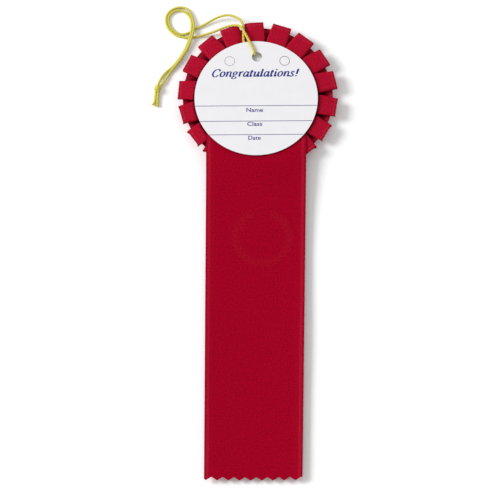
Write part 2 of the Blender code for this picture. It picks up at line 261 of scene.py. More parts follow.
# One leaf, with a ridge along it, is copied round the ring in two leaning rows.
clear_selection()
LEAF_HALF_WIDTH, LEAF_HALF_LENGTH, LEAVES_ROUND = 0.75 * MM, 2.1 * MM, 26
bpy.ops.mesh.primitive_circle_add(vertices=12, radius=1, fill_type="NGON", location=EMBLEM_PLACE)
leaf = bpy.context.object
leaf.scale = (LEAF_HALF_WIDTH, LEAF_HALF_LENGTH, 1)
select(leaf, "VERT", lambda v: abs(v.co.y) > 0.8 and abs(v.co.x) > 0.1)
bpy.ops.transform.resize(value=(0.45, 1, 1), center_override=(0, 0, FACE_Z))
select(leaf, "FACE", lambda f: True)
bpy.ops.mesh.extrude_region_move(TRANSFORM_OT_translate={"value": (0, 0, -0.08 * MM)})
bpy.ops.mesh.poke(offset=0.14 * MM)
bpy.ops.mesh.select_all(action="SELECT")
bpy.ops.mesh.normals_make_consistent(inside=False)
leaves = []
for side, out, lean in ((0, 15.6 * MM, 0.55), (0.5, 18.6 * MM, -0.55)):
    left_out = (0, LEAVES_ROUND - 1) if side else (0, LEAVES_ROUND // 2)
    for k in range(LEAVES_ROUND):
        if k in left_out:
            continue
        turn = math.tau * (k + side) / LEAVES_ROUND
        copy = leaf.copy()
        copy.data = leaf.data.copy()
        bpy.context.scene.collection.objects.link(copy)
        lean_way = lean if turn < math.pi else -lean
        ring = Matrix.Rotation(-turn, 4, "Z") @ Matrix.Translation((0, out, EMBLEM_PLACE[2]))
        tilt = Matrix.Rotation(lean_way + math.copysign(math.pi / 2, turn - math.pi), 4, "Z")
        copy.matrix_world = ring @ tilt @ Matrix.Diagonal((LEAF_HALF_WIDTH, LEAF_HALF_LENGTH, 1, 1))
        leaves.append(copy)
bpy.data.objects.remove(leaf)
clear_selection()
for piece in [star, *leaves]:
    piece.select_set(True)
bpy.context.view_layer.objects.active = star
bpy.ops.object.join()
finish_shape(star, "button_emblem", 20)
star.data.materials.append(gold_finish("raised emblem", (0.8, 0.53, 0.16), 0.2))
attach(star, "rosette")


# FRONT GLUE
# A pad of hot-melt glue, squeezed flat between the button and the board through the pleats'
# open middle, so its rim bulges a little and isn't quite round.

def glue_pad(name, node):
    low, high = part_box(node)
    radius = (high.x - low.x) / 2
    pad = new_disc(72, radius, low, high)
    select(pad, "FACE", lambda f: abs(f.normal.z) > 0.9)
    bpy.ops.mesh.inset(thickness=0.9 * MM)
    bpy.ops.mesh.inset(thickness=radius * 0.5)
    select(pad, "EDGE", round_rim(radius))
    bpy.ops.mesh.bevel(offset=min(0.35 * MM, (high.z - low.z) * 0.45), segments=3, affect="EDGES")
    bpy.ops.object.mode_set(mode="OBJECT")
    for point in pad.data.vertices:
        turn = math.atan2(point.co.y, point.co.x)
        squeeze = 0.97 + 0.03 * noise.noise(Vector((math.cos(turn), math.sin(turn), radius * 900)) * 1.7)
        point.co.x *= squeeze
        point.co.y *= squeeze
    finish_shape(pad, name, 60)
    pad.data.materials.append(hot_melt)
    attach(pad, "rosette")
    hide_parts(node)
    return pad


hot_melt, tree, shader = new_material("hot melt glue", Subsurface_Weight=0.4, Subsurface_Scale=0.002)
parts = unevenness(tree, 0.004, 0.0007)
colour = mix(tree, parts["Blotches"], (0.7, 0.6, 0.42, 1), (0.56, 0.46, 0.3, 1))
dress(tree, shader, colour, fade(tree, parts["Grain"], 0.3, 0.7, 0.25, 0.45), parts["Height"], 0.0001, 0.5)
glue_pad("glue_behind_button", "front_glue")


# PLEATED RIBBON
# One length of 22 mm red satin ribbon, folded dull side out into eighteen box pleats round a ring.
# The board holds it down in the middle; outside that the pleats puff up nearly to the card.

PLEATS = 18
RING_RADIUS = 41.0 * MM
CARD_EDGE = 31.75 * MM
CARD_CENTRE = Vector((-0.85, -2.05, 0)) * MM
RIBBON_WIDTH = 22.0 * MM
RIBBON_THICKNESS = 0.3 * MM
FRONT_TAB_INSET = 2.4 * MM
FRONT_TAB_Z, BACK_TAB_Z, FOLD = 2.05 * MM, 3.45 * MM, 0.5 * MM
OPENING_START = 29.0 * MM
PUFFED_Z, OUTER_DROP = 6.5 * MM, 0.6 * MM
TAB_TURNS = [
    math.radians(20 * k - 2.5 + drift)
    for k, drift in enumerate(
        (-0.4, 0.4, 0.0, 0.0, -0.6, 1.1, 2.3, 2.2, 1.5, 0.5, -0.5, -1.0, -2.6, -2.1, -2.4, -0.3, 1.2, 1.3)
    )
]


def tab_turn(k):
    return TAB_TURNS[k % PLEATS] + math.tau * (k // PLEATS)


def on_tab(turn, across, out, height):
    x = across * math.cos(turn) + out * math.sin(turn)
    return Vector((x, out * math.cos(turn) - across * math.sin(turn), height))


def run(first, second, count):
    return [first.lerp(second, i / count) for i in range(count)]


def fold(turn, across, out, start_z, end_z, way):
    """The points of a soft fold, half a turn from one height to the other, bulging the given way."""
    reach, middle = abs(start_z - end_z) / 2, (start_z + end_z) / 2
    return [
        on_tab(turn, across + way * reach * math.sin(a), out, middle + (start_z - middle) * math.cos(a))
        for a in (math.pi * i / 5 for i in range(5))
    ]


def eased(value, start, end):
    share = max(0.0, min(1.0, (value - start) / (end - start)))
    return share * share * (3 - 2 * share)


def puffed(point):
    """How high the back tabs stand: low under the card, up from its edge, and dropping outward."""
    from_card = (point - CARD_CENTRE).to_2d().length - CARD_EDGE
    height = BACK_TAB_Z + 1.45 * MM * eased(point.to_2d().length, 28.4 * MM, 29.6 * MM)
    height += (PUFFED_Z - BACK_TAB_Z - 1.45 * MM) * eased(from_card, -0.3 * MM, 0.8 * MM)
    height -= OUTER_DROP * max(0.0, from_card) / (9 * MM)
    # The string lies in the gap between two tabs near the top and presses their sides down.
    if point.y > 28 * MM:
        height -= 1.1 * MM * (1 - eased(abs(point.x + 7.4 * MM), 0.4 * MM, 3.2 * MM))
    return height


def pleat_line(share):
    """One line of points along the folded ribbon, with share 0 at its inner edge and 1 at its outer."""
    back_out = RING_RADIUS - RIBBON_WIDTH * (1 - share)
    front_out = back_out - FRONT_TAB_INSET
    narrowing = max(0.0, (back_out - CARD_EDGE) / (RING_RADIUS - CARD_EDGE))
    half_back = min(10.5 * MM - 0.9 * MM * narrowing, 0.93 * back_out * math.tau / PLEATS) / 2
    half_front = min(13.0 * MM, 0.93 * front_out * math.tau / PLEATS) / 2
    opening = max(0.0, (back_out - OPENING_START) / (RING_RADIUS - OPENING_START))
    front_z = FRONT_TAB_Z + 1.9 * MM * opening**2
    back_z = BACK_TAB_Z + 0.9 * MM * opening**2
    line = []
    for k in range(PLEATS):
        here, following = tab_turn(k), tab_turn(k + 1)
        between = (here + following) / 2
        back_edge, front_edge = half_back - FOLD / 2, half_front - FOLD / 2
        lean = 0.1 * MM * opening * noise.noise(Vector((k * 3.7, 1.3, 0)))
        left, right = back_z - lean, back_z + lean
        following_left = back_z - 0.1 * MM * opening * noise.noise(Vector(((k + 1) % PLEATS * 3.7, 1.3, 0)))
        line += run(on_tab(here, -back_edge, back_out, left), on_tab(here, back_edge, back_out, right), 9)
        line += fold(here, back_edge, back_out, right, right - FOLD, 1)
        under = on_tab(between, -front_edge, front_out, front_z + FOLD)
        line += run(on_tab(here, back_edge, back_out, right - FOLD), under, 4)
        line += fold(between, -front_edge, front_out, front_z + FOLD, front_z, -1)
        far = on_tab(between, front_edge, front_out, front_z)
        line += run(on_tab(between, -front_edge, front_out, front_z), far, 11)
        line += fold(between, front_edge, front_out, front_z, front_z + FOLD, 1)
        back_again = on_tab(following, -back_edge, back_out, following_left - FOLD)
        line += run(on_tab(between, front_edge, front_out, front_z + FOLD), back_again, 4)
        line += fold(following, -back_edge, back_out, following_left - FOLD, following_left, -1)
    for point in line:
        point.z += (puffed(point) - back_z) * max(0.0, min(1.0, (point.z - front_z) / (back_z - front_z)))
    return line


def new_piece(name, points, faces):
    mesh = bpy.data.meshes.new(name)
    mesh.from_pydata(points, [], faces)
    piece = bpy.data.objects.new(name, mesh)
    bpy.context.scene.collection.objects.link(piece)
    return piece


def give_map(piece, name, places):
    layer = piece.data.uv_layers.new(name=name)
    layer.data.foreach_set("uv", [number for place in places for number in place])


def sheet_mesh(name, rows, closed, across, along):
    """A cloth surface through rows of points; its own map holds the place across and along the cloth."""
    count = len(rows[0])
    points = [p for row in rows for p in row]
    spans = count if closed else count - 1
    faces, places = [], []
    for r in range(len(rows) - 1):
        for i in range(spans):
            j = (i + 1) % count
            faces.append((r * count + i, r * count + j, (r + 1) * count + j, (r + 1) * count + i))
            places += [(across(r, i), along(r, i)), (across(r, i + 1), along(r, i + 1))]
            places += [(across(r + 1, i + 1), along(r + 1, i + 1)), (across(r + 1, i), along(r + 1, i))]
    piece = new_piece(name, points, faces)
    give_map(piece, "cloth", places)
    return piece


def give_thickness(piece, thickness):
    """Thickens the cloth: its upper face keeps the first material, its lower face takes the second."""
    piece.data.materials.append(None)
    piece.data.materials.append(None)
    solid = piece.modifiers.new("Thickness", "SOLIDIFY")
    solid.thickness = thickness
    solid.offset = 0
    solid.use_even_offset = True
    solid.material_offset = 1
    pick(piece)
    bpy.ops.object.modifier_apply(modifier=solid.name)


shares = [0, 0.1, 0.2, 0.3, 0.38]
shares += [0.427 + 0.018 * k for k in range(15)]
shares += [0.71, 0.76, 0.82, 0.88, 0.93, 0.97, 1]
rows = [pleat_line(share) for share in shares]
lengths = [0.0]
for here, following in zip(rows[-1], rows[-1][1:] + rows[-1][:1]):
    lengths.append(lengths[-1] + (following - here).length)
ribbon = sheet_mesh(
    "satin_pleats", rows, True, lambda r, i: shares[r], lambda r, i: lengths[i] / RIBBON_WIDTH
)
if ribbon.data.polygons[0].normal.z < 0:
    for face in ribbon.data.polygons:
        face.flip()
# Painted shade in the pleats' recesses: 0 on the back tabs, 1 on the front tabs tucked in behind them,
# fading out towards the ribbon's outer edge, where the front tabs' ends catch the light.
tucked = ribbon.data.attributes.new("tucked", "FLOAT", "POINT")
in_pleat = len(rows[0]) // PLEATS
depths = [min(1.0, max(0.0, (abs(k % in_pleat - 27.5) - 8) / -4 + 1)) for k in range(len(rows[0]))]
lit = [1 - 0.9 * eased(share, 0.78, 0.92) for share in shares]
tucked.data.foreach_set("value", [depth * shade for shade in lit for depth in depths])
give_thickness(ribbon, RIBBON_THICKNESS)
finish_shape(ribbon, "satin_pleats", 50)

# Ribbon weave: fine lengthwise threads crossed by ribs, faint streaks from uneven weft, a corded
# band a little inside each woven edge, and a dark line at the edge itself.
satin_weave, given, gives = new_group(
    "satin weave",
    {
        "Cloth": ("Vector", None),
        "Width in mm": ("Float", 50.0),
        "Ground": ("Color", (0.4, 0, 0.02, 1)),
        "Band": ("Color", (0.5, 0.02, 0.05, 1)),
        "Edge": ("Color", (0.1, 0, 0.01, 1)),
        "Band start": ("Float", 1.1),
        "Band end": ("Float", 2.4),
    },
    {"Colour": "Color", "Roughness": "Float", "Height": "Float"},
)
tree = satin_weave
place = add(tree, "ShaderNodeSeparateXYZ", {0: given["Cloth"]}).outputs
across = calc(tree, "MULTIPLY", place["X"], given["Width in mm"])
along = calc(tree, "MULTIPLY", place["Y"], given["Width in mm"])
from_edge = calc(tree, "MINIMUM", across, calc(tree, "SUBTRACT", given["Width in mm"], across))
warp = calc(tree, "SINE", calc(tree, "MULTIPLY", across, math.tau / 0.16))
weft = calc(tree, "SINE", calc(tree, "MULTIPLY", along, math.tau / 0.42))
in_band = calc(
    tree,
    "MULTIPLY",
    fade(tree, calc(tree, "SUBTRACT", from_edge, given["Band start"]), -0.15, 0.2),
    fade(tree, calc(tree, "SUBTRACT", from_edge, given["Band end"]), 0.2, -0.2),
)
beads = calc(tree, "SINE", calc(tree, "MULTIPLY", along, math.tau / 0.8))
long_way = {0: calc(tree, "MULTIPLY", across, 0.07), 1: along}
streaks = cloudy(tree, add(tree, "ShaderNodeCombineXYZ", long_way).outputs[0], 1.1, 4.0)
wide_way = {0: across, 1: calc(tree, "MULTIPLY", along, 1.6)}
slubs = cloudy(tree, add(tree, "ShaderNodeCombineXYZ", wide_way).outputs[0], 1.1, 5.0, 0.7)
lean_in = fade(tree, slubs, 0.37, 0.63, 0.74, 1.26)
lean_in = calc(tree, "MULTIPLY", lean_in, fade(tree, streaks, 0.3, 0.7, 0.965, 1.035))
lean_in = calc(tree, "MULTIPLY", lean_in, calc(tree, "MULTIPLY_ADD", weft, 0.035, 1.0))
lean_in = calc(tree, "MULTIPLY", lean_in, calc(tree, "MULTIPLY_ADD", warp, 0.02, 1.0))
band_share = calc(tree, "MULTIPLY", in_band, calc(tree, "MULTIPLY_ADD", beads, 0.12, 0.7))
colour = mix(tree, band_share, given["Ground"], given["Band"])
colour = mix(tree, fade(tree, from_edge, 0.32, 0.12), colour, given["Edge"])
shaded = add(tree, "ShaderNodeCombineColor", {0: lean_in, 1: lean_in, 2: lean_in}).outputs[0]
tree.links.new(mix(tree, 1.0, colour, shaded, "MULTIPLY"), gives["Colour"])
tree.links.new(fade(tree, slubs, 0.3, 0.7, 0.5, 0.64), gives["Roughness"])
cord_rise = calc(tree, "MULTIPLY", in_band, calc(tree, "MULTIPLY_ADD", beads, 0.3, 0.6))
height = calc(tree, "MULTIPLY_ADD", weft, 0.3, cord_rise)
height = calc(tree, "MULTIPLY_ADD", warp, 0.15, height)
tree.links.new(calc(tree, "MULTIPLY_ADD", slubs, 0.8, height), gives["Height"])


def satin_finish(name, width, ground, band, edge, band_start, band_end, **constants):
    material, tree, shader = new_material(name, **constants)
    cloth = add(tree, "ShaderNodeUVMap", uv_map="cloth").outputs[0]
    values = {
        "Cloth": cloth, "Width in mm": width, "Ground": (*ground, 1), "Band": (*band, 1),
        "Edge": (*edge, 1), "Band start": band_start, "Band end": band_end,
    }
    woven = place_group(tree, satin_weave, values)
    dress(tree, shader, woven["Colour"], woven["Roughness"], woven["Height"], 0.00005, 0.5)
    return material, tree, shader, woven


pleat_satin, tree, shader, woven = satin_finish(
    "pleated satin", 22.0, (0.37, 0.003, 0.0205), (0.41, 0.012, 0.036), (0.16, 0.001, 0.007), 0.9, 1.7,
    Specular_IOR_Level=0.04,
)
# That attribute darkens the front tabs towards a near-black red: painted shade in the recesses behind the
# back tabs.
inside = add(tree, "ShaderNodeAttribute", attribute_name="tucked").outputs["Fac"]
shaded = mix(tree, calc(tree, "MULTIPLY", inside, 0.82), woven["Colour"], (0.03, 0.0, 0.002, 1))
tree.links.new(shaded, shader.inputs["Base Color"])
pleat_front, tree, shader, woven = satin_finish(
    "pleated satin front", 22.0, (0.42, 0.004, 0.019), (0.45, 0.014, 0.035), (0.2, 0.001, 0.008), 0.9, 1.7,
    Specular_IOR_Level=0.4, Anisotropic=0.5,
)
ribbon.data.materials[0] = pleat_satin
ribbon.data.materials[1] = pleat_front
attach(ribbon, "rosette")
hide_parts("pleated_ribbon")


# PLEAT THREAD
# Red sewing thread that gathers the pleats near their inner edge, where the board covers it.
# It is two yarns twisted together, and its stitches wander a little either side of their ring.

def frames_along(path, closed=False):
    """At each point of the path, its direction and two more square to it that don't spin."""
    count = len(path)
    directions = []
    for i in range(count):
        ahead = path[(i + 1) % count] if closed or i + 1 < count else path[i]
        behind = path[i - 1] if closed or i else path[i]
        directions.append((ahead - behind).normalized())
    side = directions[0].cross(Vector((0, 0, 1)))
    if side.length < 0.1:
        side = directions[0].cross(Vector((1, 0, 0)))
    side.normalize()
    frames = []
    for direction in directions:
        side = (side - direction * side.dot(direction)).normalized()
        frames.append((direction, side, direction.cross(side)))
    return frames


def twisted_tube(name, path, outline, around=16, closed=False):
    """A tube along the path; outline(angle, distance) gives its radius there. Its map holds the turn
    round the tube and the distance along it in millimetres."""
    distances = [0.0]
    for here, following in zip(path, path[1:] + path[:1]):
        distances.append(distances[-1] + (following - here).length)
    frames = frames_along(path, closed)
    points, faces, places = [], [], []
    for i, (place, (direction, side, up)) in enumerate(zip(path, frames)):
        for k in range(around):
            angle = math.tau * k / around
            reach = outline(angle, distances[i])
            points.append(place + (side * math.cos(angle) + up * math.sin(angle)) * reach)
    count = len(path)
    for i in range(count if closed else count - 1):
        for k in range(around):
            m, j = (k + 1) % around, (i + 1) % count
            faces.append((i * around + k, i * around + m, j * around + m, j * around + k))
            near, far = distances[i] / MM, distances[i + 1] / MM
            one, other = k / around, (k + 1) / around
            places += [(one, near), (other, near), (other, far), (one, far)]
    if not closed:
        faces += [tuple(reversed(range(around))), tuple(range((count - 1) * around, count * around))]
        places += [(0, 0)] * around + [(0, distances[count - 1] / MM)] * around
    piece = new_piece(name, points, faces)
    give_map(piece, "lay", places)
    piece.data.shade_smooth()
    return piece


def map_of(tree, name):
    """The two numbers that the piece's own map holds there."""
    place = add(tree, "ShaderNodeUVMap", uv_map=name).outputs[0]
    return add(tree, "ShaderNodeSeparateXYZ", {0: place}).outputs


def two_ply(radius, pitch, start=0.0):
    """The outline of two round yarns twisted together, a full turn in each pitch."""
    offset, yarn = radius * 0.24, radius * 0.76

    def outline(angle, distance):
        lean = angle - start - math.tau * distance / pitch
        return offset * abs(math.cos(lean)) + math.sqrt(yarn**2 - (offset * math.sin(lean)) ** 2)

    return outline


low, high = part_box("pleat_thread")
thread_z, thread_radius = (low.z + high.z) / 2, (high.z - low.z) / 2
ring_out = (high.x - low.x) / 2 - thread_radius
stitches = []
for k in range(720):
    turn = math.tau * k / 720
    out = ring_out + 0.22 * MM * math.sin(turn * 54) + 0.1 * MM * math.sin(turn * 7)
    stitches.append(Vector((out * math.cos(turn), out * math.sin(turn), thread_z)))
thread = twisted_tube("gathering_thread", stitches, two_ply(thread_radius, 0.9 * MM), 10, closed=True)

thread_red, tree, shader = new_material("sewing thread", Sheen_Weight=0.2, Specular_IOR_Level=0.3)
lay = map_of(tree, "lay")
fibres = calc(tree, "MULTIPLY_ADD", lay["X"], math.tau * 9, calc(tree, "MULTIPLY", lay["Y"], math.tau * 4))
fibres = calc(tree, "MULTIPLY_ADD", calc(tree, "SINE", fibres), 0.5, 0.5)
colour = mix(tree, fibres, (0.28, 0.003, 0.012, 1), (0.42, 0.008, 0.03, 1))
dress(tree, shader, colour, fade(tree, fibres, 0, 1, 0.5, 0.7), fibres, 0.00002, 0.5)
thread.data.materials.append(thread_red)
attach(thread, "rosette")
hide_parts("pleat_thread")


# BASE DISC
# A stamped disc of 1 mm grey recycled board that the pleats, the streamer and the card are fixed
# to. Fibres and specks show in its face, and four small holes take the staples' legs.

def board_finish(name, light, dark, speck):
    material, tree, shader = new_material(name, Specular_IOR_Level=0.2)
    parts = unevenness(tree, 0.003, 0.0004)
    drawn_out = {0: own_place(tree), "Scale": (1, 3.5, 1), "Rotation": (0, 0, 0.5)}
    fibres = cloudy(tree, add(tree, "ShaderNodeMapping", drawn_out).outputs[0], 1500.0, 3.0)
    colour = mix(tree, fade(tree, parts["Blotches"], 0.3, 0.7), (*light, 1), (*dark, 1))
    colour = mix(tree, fade(tree, fibres, 0.62, 0.72, 0, 0.3), colour, (*speck, 1))
    matt = fade(tree, parts["Grain"], 0.3, 0.7, 0.8, 0.95)
    dress(tree, shader, colour, matt, calc(tree, "ADD", parts["Height"], fibres), 0.00005, 0.5)
    return material


# The board's colour is painted near white, far lighter than its real grey: painted light that lifts the
# shade where it shows through the string hole.
light_painted_greyboard = board_finish("grey board", (0.93, 0.93, 0.93), (0.91, 0.91, 0.91), (0.85, 0.84, 0.82))
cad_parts["base_disc"].material_slots[0].material = light_painted_greyboard


# STREAMER
# A flat satin ribbon, 50.8 mm wide, with its dull side up. Its top lies between the board and the
# card, and its springy free end droops to just over the surface. Pinking shears cut the end.

STREAMER_WIDTH = 50.8 * MM
STREAMER_THICKNESS = 0.3 * MM
low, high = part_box("streamer_top")
streamer_z = (low.z + high.z) / 2
streamer_x = (low.x + high.x) / 2
streamer_start = high.y
TAIL_START = -42.75 * MM
TAIL_LENGTH = 168.3 * MM
TAIL_DRIFT, NARROWING = -1.5 * MM, 0.024
FIRST_TIP, TOOTH_PITCH, TOOTH_DEPTH = 0.95 * MM, 5.64 * MM, 1.95 * MM


def tooth_cut(across):
    """How far the pinked end stops short of a tip there, with the points a little blunted."""
    total = 0.0
    for k in range(-4, 5):
        phase = ((across + k * 0.07 * MM - FIRST_TIP) / TOOTH_PITCH) % 1.0
        total += 1 - abs(1 - 2 * phase)
    return TOOTH_DEPTH * total / 9


COLUMNS = [STREAMER_WIDTH * k / 144 for k in range(145)]
TOP_ROWS, TAIL_ROWS = 26, 96


def streamer_point(row, across):
    side = (across - STREAMER_WIDTH / 2) / (STREAMER_WIDTH / 2)
    if row <= TOP_ROWS:
        y = streamer_start + (TAIL_START - streamer_start) * row / TOP_ROWS
        share = 0.0
    else:
        share = (row - TOP_ROWS) / TAIL_ROWS
        cut = tooth_cut(across * (1 - NARROWING)) * max(0.0, (share - 0.95) / 0.05)
        y = TAIL_START - TAIL_LENGTH * share + cut
    x = streamer_x + 0.3 * MM + side * STREAMER_WIDTH / 2 * (1.012 - NARROWING * share) + TAIL_DRIFT * share
    gone = TAIL_START - y
    gone = min(1.0, (gone + math.hypot(gone, 7 * MM)) / 2 / TAIL_LENGTH)
    height = 0.35 * MM + (streamer_z - 0.35 * MM) * (1 - gone) ** 3
    down = eased(gone, 0.04, 0.62)
    spring = down * (2.5 + 0.8 * abs(side) ** 2.2) * MM
    from_card = math.hypot(x - CARD_CENTRE.x, y - CARD_CENTRE.y) - CARD_EDGE
    hump = 1.05 * MM * eased(from_card, -1.6 * MM, 0.4 * MM) * (1 - eased(from_card, 5 * MM, 17 * MM))
    wave = 0.12 * MM * down * noise.noise(Vector((across * 60, y * 28, 0.4)))
    return Vector((x, y, height + spring + hump + wave))


rows = [[streamer_point(r, across) for across in COLUMNS] for r in range(TOP_ROWS + TAIL_ROWS + 1)]
streamer = sheet_mesh(
    "satin_streamer", rows, False,
    lambda r, i: COLUMNS[i] / STREAMER_WIDTH,
    lambda r, i: (streamer_start - rows[r][i].y) / STREAMER_WIDTH,
)
for face in streamer.data.polygons:
    face.flip()
give_thickness(streamer, STREAMER_THICKNESS)
finish_shape(streamer, "satin_streamer", 50)

# Foil stamp: a ring of paired leaves, open at the top, as on the ribbon's front.
laurel, given, gives = new_group(
    "laurel ring",
    {"Place": ("Vector", None), "Centre": ("Vector", (0, 0, 0)), "Radius": ("Float", 0.0145)},
    {"Mask": "Float"},
)
tree = laurel
from_centre = {0: given["Place"], 1: given["Centre"]}
place = add(tree, "ShaderNodeVectorMath", from_centre, operation="SUBTRACT").outputs[0]
place = add(tree, "ShaderNodeSeparateXYZ", {0: place}).outputs
squares = [calc(tree, "POWER", place[way], 2.0) for way in ("X", "Y")]
out = calc(tree, "POWER", calc(tree, "ADD", *squares), 0.5)
off = calc(tree, "DIVIDE", calc(tree, "SUBTRACT", out, given["Radius"]), given["Radius"])
turn = calc(tree, "ABSOLUTE", calc(tree, "ARCTAN2", place["X"], calc(tree, "MULTIPLY", place["Y"], -1.0)))
leant = calc(tree, "MULTIPLY_ADD", calc(tree, "ABSOLUTE", off), -1.6, turn)
step = calc(tree, "PINGPONG", calc(tree, "MULTIPLY", leant, 4.4), 0.5)
leaf_width = calc(tree, "MULTIPLY", fade(tree, calc(tree, "ABSOLUTE", off), 0.2, 0.1), 0.32)
leaf_mask = fade(tree, calc(tree, "SUBTRACT", step, leaf_width), 0.05, -0.05)
leaf_mask = calc(tree, "MULTIPLY", leaf_mask, fade(tree, leaf_width, 0.02, 0.1))
stem = fade(tree, calc(tree, "ABSOLUTE", off), 0.022, 0.012)
open_top = fade(tree, turn, 2.85, 2.75)
tree.links.new(calc(tree, "MULTIPLY", calc(tree, "MAXIMUM", leaf_mask, stem), open_top), gives["Mask"])


def laurel_mask(tree):
    values = {"Place": own_place(tree), "Centre": (2.2 * MM, -78.0 * MM, 0.0), "Radius": 13.8 * MM}
    return place_group(tree, laurel, values)["Mask"]


dull_side, tree, shader, woven = satin_finish(
    "streamer satin", 50.8, (0.305, 0.0004, 0.0135), (0.38, 0.008, 0.028), (0.14, 0.0005, 0.006), 0.95, 2.3,
    Specular_IOR_Level=0.016,
)
# Towards both long edges the dull side is painted lighter: a painted sheen, not a colour of the satin.
cloth = map_of(tree, "cloth")
painted_edge_sheen = calc(tree, "ABSOLUTE", calc(tree, "MULTIPLY_ADD", cloth["X"], 2.0, -1.0))
painted_edge_sheen = calc(tree, "MULTIPLY", fade(tree, painted_edge_sheen, 0.7, 1.0), 0.25)
with_edge_sheen = mix(tree, painted_edge_sheen, woven["Colour"], (0.36, 0.004, 0.02, 1))
with_edge_sheen = mix(tree, calc(tree, "MULTIPLY", laurel_mask(tree), 0.035), with_edge_sheen, (0.5, 0.06, 0.06, 1))
tree.links.new(with_edge_sheen, shader.inputs["Base Color"])
front_side, tree, shader, woven = satin_finish(
    "streamer front", 50.8, (0.36, 0.002, 0.014), (0.4, 0.012, 0.03), (0.12, 0.001, 0.006), 1.2, 2.4,
    Specular_IOR_Level=0.5, Anisotropic=0.5,
)
foil = laurel_mask(tree)
tree.links.new(mix(tree, foil, woven["Colour"], (0.8, 0.55, 0.18, 1)), shader.inputs["Base Color"])
tree.links.new(foil, shader.inputs["Metallic"])
tree.links.new(fade(tree, foil, 0.3, 0.7, 0.42, 0.25), shader.inputs["Roughness"])
streamer.data.materials[0] = dull_side
streamer.data.materials[1] = front_side
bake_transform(streamer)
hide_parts("streamer_top", "streamer_tail")


# STAPLES
# Two bright steel wire staples go through the streamer and the board, one near each side of the
# glue, with their legs bent in flat under the board.

def rounded(corners, bend, steps=5):
    """The corners' path with each corner turned on a small arc."""
    path = [corners[0]]
    for before, corner, after in zip(corners, corners[1:], corners[2:]):
        first = corner + (before - corner).normalized() * bend
        last = corner + (after - corner).normalized() * bend
        for i in range(steps + 1):
            t = i / steps
            path.append(first.lerp(corner, t).lerp(corner.lerp(last, t), t))
    return path + [corners[-1]]


steel, tree, shader = new_material("bright staple wire", Metallic=1.0)
parts = unevenness(tree, 0.002, 0.00015)
colour = mix(tree, parts["Blotches"], (0.62, 0.61, 0.59, 1), (0.42, 0.41, 0.4, 1))
dress(tree, shader, colour, fade(tree, parts["Grain"], 0.3, 0.7, 0.22, 0.4), parts["Height"], 0.00001, 0.4)
WIRE_RADIUS = 0.25 * MM
for node in ("staple_left", "staple_right"):
    low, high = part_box(node)
    x = (low.x + high.x) / 2
    near, far = low.y + WIRE_RADIUS, high.y - WIRE_RADIUS
    under, over = low.z + WIRE_RADIUS, high.z - WIRE_RADIUS
    corners = [
        Vector(p) for p in (
            (x, near + 3.2 * MM, under), (x, near, under), (x, near, over),
            (x, far, over), (x, far, under), (x, far - 3.2 * MM, under),
        )
    ]
    bent = rounded(corners, 0.45 * MM)
    wire = twisted_tube("wire_" + node, bent, lambda angle, distance: WIRE_RADIUS, 12)
    wire.data.materials.append(steel)
    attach(wire, "rosette")
    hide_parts(node)


# CARD GLUE
# A second, thinner pad of the same glue holds the card over the streamer's top. It is pressed
# flat by the card while it is still hot.

glue_pad("glue_under_card", "card_glue")


# BACK CARD
# A die-cut disc of white card, 63.5 mm across, with one hole punched out for the string and two
# more cut round but left in. It is printed in one blue: a greeting, three rules and their labels.


def is_cut_edge(edge):
    """Whether a flat face meets a cut side there."""
    if len(edge.link_faces) != 2 or abs(edge.verts[0].co.z - edge.verts[1].co.z) >= 0.05 * MM:
        return False
    return abs(edge.link_faces[0].normal.z - edge.link_faces[1].normal.z) > 0.5


CARD_RADIUS = 31.75 * MM
card_low, card_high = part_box("back_card")
card_middle = (card_low + card_high) / 2
HOLE_RADIUS = 2.65 * MM
HOLES = {"string": (0.5 * MM, 23.0 * MM), "left": (-13.6 * MM, 20.6 * MM), "right": (14.7 * MM, 20.8 * MM)}
card = new_disc(240, CARD_RADIUS, card_low, card_high)
for name, (x, y) in HOLES.items():
    clear_selection()
    place = (card_middle.x + x, card_middle.y + y, card_middle.z)
    bpy.ops.mesh.primitive_cylinder_add(vertices=64, radius=HOLE_RADIUS, depth=2 * MM, location=place)
    punch = bpy.context.object
    pick(card)
    cut = card.modifiers.new("Punch", "BOOLEAN")
    cut.object = punch
    cut.operation = "DIFFERENCE"
    cut.solver = "EXACT"
    bpy.ops.object.modifier_apply(modifier=cut.name)
    bpy.data.objects.remove(punch)
select(card, "EDGE", is_cut_edge)
bpy.ops.mesh.bevel(offset=0.05 * MM, segments=2, affect="EDGES")
finish_shape(card, "card", 12)


def card_finish(name, face, edge):
    material, tree, shader = new_material(name, Specular_IOR_Level=0.3)
    parts = unevenness(tree, 0.007, 0.0005)
    facing = tree.nodes.new("ShaderNodeNewGeometry").outputs["True Normal"]
    facing = add(tree, "ShaderNodeSeparateXYZ", {0: facing}).outputs["Z"]
    on_edge = fade(tree, calc(tree, "ABSOLUTE", facing), 0.75, 0.25)
    greyer, darker = [[part * share for part in face] for share in (0.975, 0.95)]
    colour = mix(tree, fade(tree, parts["Blotches"], 0.3, 0.7), (*face, 1), (*greyer, 1))
    colour = mix(tree, fade(tree, parts["Grain"], 0.35, 0.75, 0, 0.35), colour, (*darker, 1))
    colour = mix(tree, on_edge, colour, (*edge, 1))
    matt = fade(tree, parts["Grain"], 0.3, 0.7, 0.62, 0.78)
    dress(tree, shader, colour, matt, parts["Height"], 0.00002, 0.4)
    return material


card_stock = card_finish("white card stock", (0.775, 0.765, 0.785), (0.62, 0.58, 0.53))
card.data.materials.append(card_stock)
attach(card, "rosette")
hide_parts("back_card")

